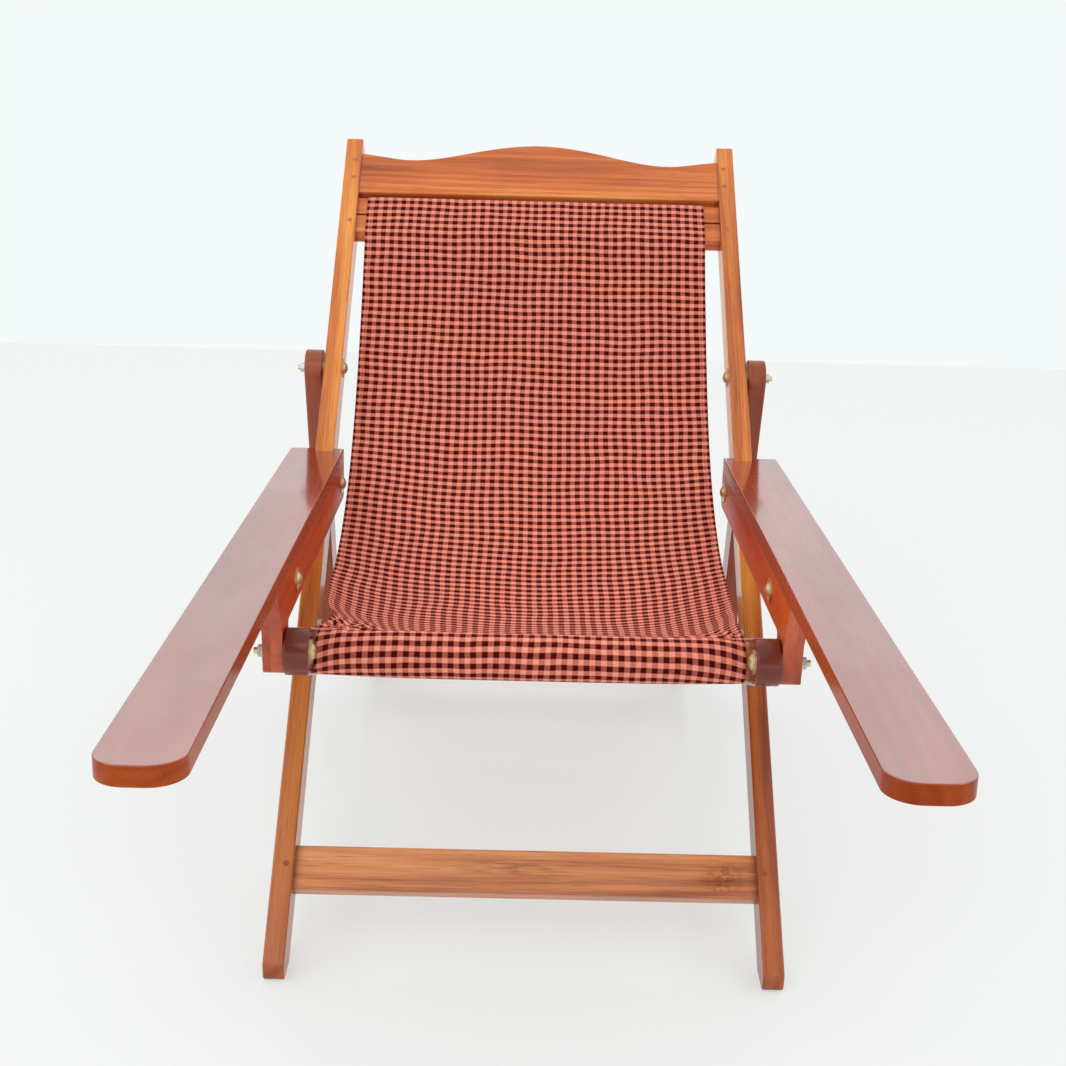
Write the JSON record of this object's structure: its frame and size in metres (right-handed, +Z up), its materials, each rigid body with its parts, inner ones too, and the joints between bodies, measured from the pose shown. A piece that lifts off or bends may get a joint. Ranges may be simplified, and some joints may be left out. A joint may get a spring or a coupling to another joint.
{
  "type": "wooden reclining easy chair",
  "caption": "Folding wooden easy chair with a reclined cloth sling, long flat arms that reach past the seat, and a notched prop that sets the recline.",
  "frame": {"origin": "on the floor, at the middle of the chair's footprint box", "axes": "+Z up, the sitter faces -Y, +X to the viewer's right from the front"},
  "size_m": [0.7606, 1.7034, 0.9526],
  "materials": {
    "frame_wood": "satin varnish",
    "arm_wood": "gloss varnish",
    "peg_wood": "satin varnish",
    "cloth": "woven gingham check",
    "brass": "plain",
    "nut_steel": "plain"
  },
  "bodies": {
    "back_frame": {"crest_rail": "frame_wood", "upper_cloth_rail": "frame_wood", "lower_cloth_rail": "frame_wood", "front_stretcher": "frame_wood", "back_rail_left": "frame_wood", "back_rail_right": "frame_wood", "arm_left": "arm_wood", "arm_right": "arm_wood", "arm_board_left": "arm_wood", "arm_board_right": "arm_wood", "arm_cheek_left": "arm_wood", "arm_cheek_right": "arm_wood", "joint_pegs": "peg_wood", "sling": "cloth", "prop_pivot_bolts": "brass", "arm_pivot_bolts": "brass", "cheek_bolts": "brass", "seat_pivot_bolts": "brass", "prop_pivot_washers": "brass", "arm_pivot_washers": "brass", "cheek_washers": "brass", "seat_pivot_washers": "brass", "prop_pivot_nuts": "nut_steel", "arm_pivot_nuts": "nut_steel", "cheek_nuts": "nut_steel", "seat_pivot_nuts": "nut_steel"},
    "seat_frame": {"seat_rail_left": "arm_wood", "seat_rail_right": "arm_wood", "seat_front_bar": "frame_wood", "rear_stretcher": "frame_wood"},
    "prop_frame": {"prop_leg_left": "arm_wood", "prop_leg_right": "arm_wood", "prop_stretcher": "frame_wood", "prop_rod": "frame_wood"}
  },
  "joints": [
    {"name": "seat_frame_swing", "type": "hinge", "parent": "back_frame", "child": "seat_frame", "pos_m": [0, -0.29026, 0.46702], "axis": [1, 0, 0], "range_deg": [-35, 0], "deforming": ["sling"]},
    {"name": "prop_swing", "type": "hinge", "parent": "back_frame", "child": "prop_frame", "pos_m": [0, 0.47081, 0.62778], "axis": [1, 0, 0], "range_deg": [0, 105]}
  ]
}
